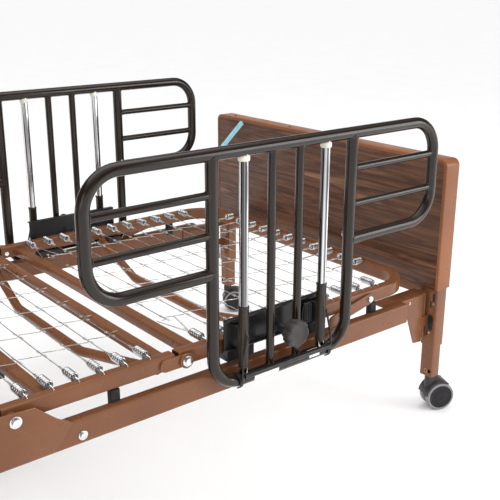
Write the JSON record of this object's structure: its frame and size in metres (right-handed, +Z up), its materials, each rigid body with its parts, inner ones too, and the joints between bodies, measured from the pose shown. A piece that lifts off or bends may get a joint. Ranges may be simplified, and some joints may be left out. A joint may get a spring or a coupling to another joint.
{
  "type": "adjustable hospital bed",
  "caption": "Steel hospital bed with a four-section wire-spring deck, wood-faced ends on telescoping caster legs, and two sliding half-length side rails.",
  "frame": {"origin": "centre of the overall box at floor level", "axes": "+X along the bed towards the foot end, +Y to the occupant's left, +Z up"},
  "size_m": [2.322, 1.05, 0.8007],
  "materials": {
    "bed_paint": "satin powder coat",
    "band_paint": "satin paint",
    "wood_laminate": "satin walnut laminate",
    "zinc_steel": "bright zinc plate",
    "bronze_powder_coat": "satin dark bronze powder coat",
    "guide_paint": "satin",
    "chrome_posts": "bright chrome plate",
    "black_steel": "semi-gloss black",
    "black_plastic": "fine texture",
    "grey_plastic": "fine texture",
    "black_rubber": "matte",
    "caster_plastic": "smooth",
    "caster_tyre": "smooth grey tread"
  },
  "bodies": {
    "foot_legs": {"foot_leg_frame": "bed_paint"},
    "bed_frame": {"right_side_rail": "bed_paint", "left_side_rail": "bed_paint", "rail_joint_sleeves": "zinc_steel", "corner_hooks": "bed_paint", "foot_end_band": "band_paint", "head_end_band": "band_paint", "foot_end_boards": "wood_laminate", "head_end_boards": "wood_laminate", "foot_end_posts": "bed_paint", "head_end_posts": "bed_paint", "lift_gearmotors": "black_plastic", "seat_frame": "bed_paint", "seat_springs": "zinc_steel", "seat_wire_fabric": "zinc_steel", "pivot_gussets": "bed_paint", "link_brackets": "bed_paint", "deck_bumpers": "black_rubber", "frame_bolts": "zinc_steel", "base_members": "bed_paint", "control_box": "black_plastic", "head_actuator": "black_plastic", "knee_actuator": "black_plastic"},
    "head_legs": {"head_leg_frame": "bed_paint"},
    "foot_screw": {"foot_lift_screw": "zinc_steel"},
    "head_screw": {"head_lift_screw": "zinc_steel"},
    "head_section": {"head_frame": "bed_paint", "head_springs": "zinc_steel", "head_wire_fabric": "zinc_steel", "head_lift_arm": "bed_paint"},
    "thigh_section": {"thigh_frame": "bed_paint", "thigh_springs": "zinc_steel", "thigh_wire_fabric": "zinc_steel", "knee_lift_arm": "bed_paint", "knee_hinge_bolts": "zinc_steel"},
    "foot_section": {"foot_frame": "bed_paint", "foot_springs": "zinc_steel", "foot_wire_fabric": "zinc_steel", "guard_brackets": "black_steel", "guide_tubes": "guide_paint", "latch_blocks": "black_plastic"},
    "links": {"foot_links": "bed_paint"},
    "head_rod": {"head_actuator_rod": "zinc_steel"},
    "knee_rod": {"knee_actuator_rod": "zinc_steel"},
    "left_guard": {"left_guard_frame": "bronze_powder_coat", "left_guard_posts": "chrome_posts"},
    "left_release": {"left_release_bail": "black_steel"},
    "left_knob": {"left_clamp_knob": "grey_plastic"},
    "right_guard": {"right_guard_frame": "bronze_powder_coat", "right_guard_posts": "chrome_posts"},
    "right_release": {"right_release_bail": "black_steel"},
    "right_knob": {"right_clamp_knob": "grey_plastic"},
    "foot_left_fork": {"foot_left_caster_fork": "caster_plastic"},
    "foot_left_wheel": {"foot_left_caster_wheel": "caster_tyre"},
    "foot_right_fork": {"foot_right_caster_fork": "caster_plastic"},
    "foot_right_wheel": {"foot_right_caster_wheel": "caster_tyre"},
    "head_left_fork": {"head_left_caster_fork": "caster_plastic"},
    "head_left_wheel": {"head_left_caster_wheel": "caster_tyre"},
    "head_right_fork": {"head_right_caster_fork": "caster_plastic"},
    "head_right_wheel": {"head_right_caster_wheel": "caster_tyre"}
  },
  "joints": [
    {"name": "bed_height", "type": "slide", "parent": "foot_legs", "child": "bed_frame", "axis": [0, 0, 1], "range_m": [0, 0.19]},
    {"name": "head_leg_slide", "type": "slide", "parent": "bed_frame", "child": "head_legs", "axis": [0, 0, -1], "range_m": [0, 0.19]},
    {"name": "foot_screw_turn", "type": "hinge", "parent": "bed_frame", "child": "foot_screw", "pos_m": [1.091, 0, 0.5], "axis": [0, 0, 1], "range_deg": [0, 3421]},
    {"name": "head_screw_turn", "type": "hinge", "parent": "bed_frame", "child": "head_screw", "pos_m": [-1.091, 0, 0.5], "axis": [0, 0, 1], "range_deg": [0, 3421]},
    {"name": "backrest_tilt", "type": "hinge", "parent": "bed_frame", "child": "head_section", "pos_m": [-0.2585, 0, 0.374], "axis": [0, 1, 0], "range_deg": [0, 70]},
    {"name": "thigh_tilt", "type": "hinge", "parent": "bed_frame", "child": "thigh_section", "pos_m": [-0.0585, 0, 0.374], "axis": [0, -1, 0], "range_deg": [0, 35]},
    {"name": "knee_bend", "type": "hinge", "parent": "thigh_section", "child": "foot_section", "pos_m": [0.3075, 0, 0.374], "axis": [0, 1, 0], "range_deg": [0, 48.34]},
    {"name": "foot_link_swing", "type": "hinge", "parent": "bed_frame", "child": "links", "pos_m": [0.7155, 0, 0.35], "axis": [0, -1, 0], "range_deg": [0, 59.74]},
    {"name": "head_rod_push", "type": "slide", "parent": "bed_frame", "child": "head_rod", "axis": [-1, 0, 0], "range_m": [0, 0.17217]},
    {"name": "knee_rod_push", "type": "slide", "parent": "bed_frame", "child": "knee_rod", "axis": [1, 0, 0], "range_m": [0, 0.07227]},
    {"name": "left_guard_drop", "type": "slide", "parent": "foot_section", "child": "left_guard", "axis": [0, 0, -1], "range_m": [0, 0.26]},
    {"name": "left_release_pull", "type": "hinge", "parent": "left_guard", "child": "left_release", "pos_m": [0.5305, 0.479, 0.313], "axis": [-1, 0, 0], "range_deg": [0, 20], "stiffness_Nm_per_rad": 4, "springref_deg": -11.46},
    {"name": "left_knob_turn", "type": "hinge", "parent": "foot_section", "child": "left_knob", "pos_m": [0.535, 0.479, 0.394], "axis": [0, 1, 0], "continuous": true},
    {"name": "right_guard_drop", "type": "slide", "parent": "foot_section", "child": "right_guard", "axis": [0, 0, -1], "range_m": [0, 0.26]},
    {"name": "right_release_pull", "type": "hinge", "parent": "right_guard", "child": "right_release", "pos_m": [0.5305, -0.479, 0.313], "axis": [1, 0, 0], "range_deg": [0, 20], "stiffness_Nm_per_rad": 4, "springref_deg": -11.46},
    {"name": "right_knob_turn", "type": "hinge", "parent": "foot_section", "child": "right_knob", "pos_m": [0.535, -0.479, 0.394], "axis": [0, 1, 0], "continuous": true},
    {"name": "foot_left_swivel", "type": "hinge", "parent": "foot_legs", "child": "foot_left_fork", "pos_m": [1.091, 0.438, 0.09], "axis": [0, 0, 1], "continuous": true},
    {"name": "foot_left_roll", "type": "hinge", "parent": "foot_left_fork", "child": "foot_left_wheel", "pos_m": [1.11066, 0.42423, 0.038], "axis": [0.5736, 0.8192, 0], "continuous": true},
    {"name": "foot_right_swivel", "type": "hinge", "parent": "foot_legs", "child": "foot_right_fork", "pos_m": [1.091, -0.438, 0.09], "axis": [0, 0, 1], "continuous": true},
    {"name": "foot_right_roll", "type": "hinge", "parent": "foot_right_fork", "child": "foot_right_wheel", "pos_m": [1.11292, -0.44776, 0.038], "axis": [0.4067, 0.9135, 0], "continuous": true},
    {"name": "head_left_swivel", "type": "hinge", "parent": "head_legs", "child": "head_left_fork", "pos_m": [-1.091, 0.438, 0.09], "axis": [0, 0, 1], "continuous": true},
    {"name": "head_left_roll", "type": "hinge", "parent": "head_left_fork", "child": "head_left_wheel", "pos_m": [-1.11292, 0.44776, 0.038], "axis": [0.4067, 0.9135, 0], "continuous": true},
    {"name": "head_right_swivel", "type": "hinge", "parent": "head_legs", "child": "head_right_fork", "pos_m": [-1.091, -0.438, 0.09], "axis": [0, 0, 1], "continuous": true},
    {"name": "head_right_roll", "type": "hinge", "parent": "head_right_fork", "child": "head_right_wheel", "pos_m": [-1.11066, -0.42423, 0.038], "axis": [0.5736, 0.8192, 0], "continuous": true}
  ],
  "couplings": [
    {"joint": "head_leg_slide", "follows": "bed_height", "ratio": 1},
    {"joint": "foot_screw_turn", "follows": "bed_height", "rad_per_m": 314.16},
    {"joint": "head_screw_turn", "follows": "bed_height", "rad_per_m": 314.16},
    {"joint": "head_rod_push", "follows": "backrest_tilt", "m_per_rad": 0.14084},
    {"joint": "knee_rod_push", "follows": "thigh_tilt", "m_per_rad": 0.11814},
    {"joint": "knee_bend", "follows": "thigh_tilt", "ratio": 1.3782},
    {"joint": "foot_link_swing", "follows": "thigh_tilt", "ratio": 1.7041}
  ]
}
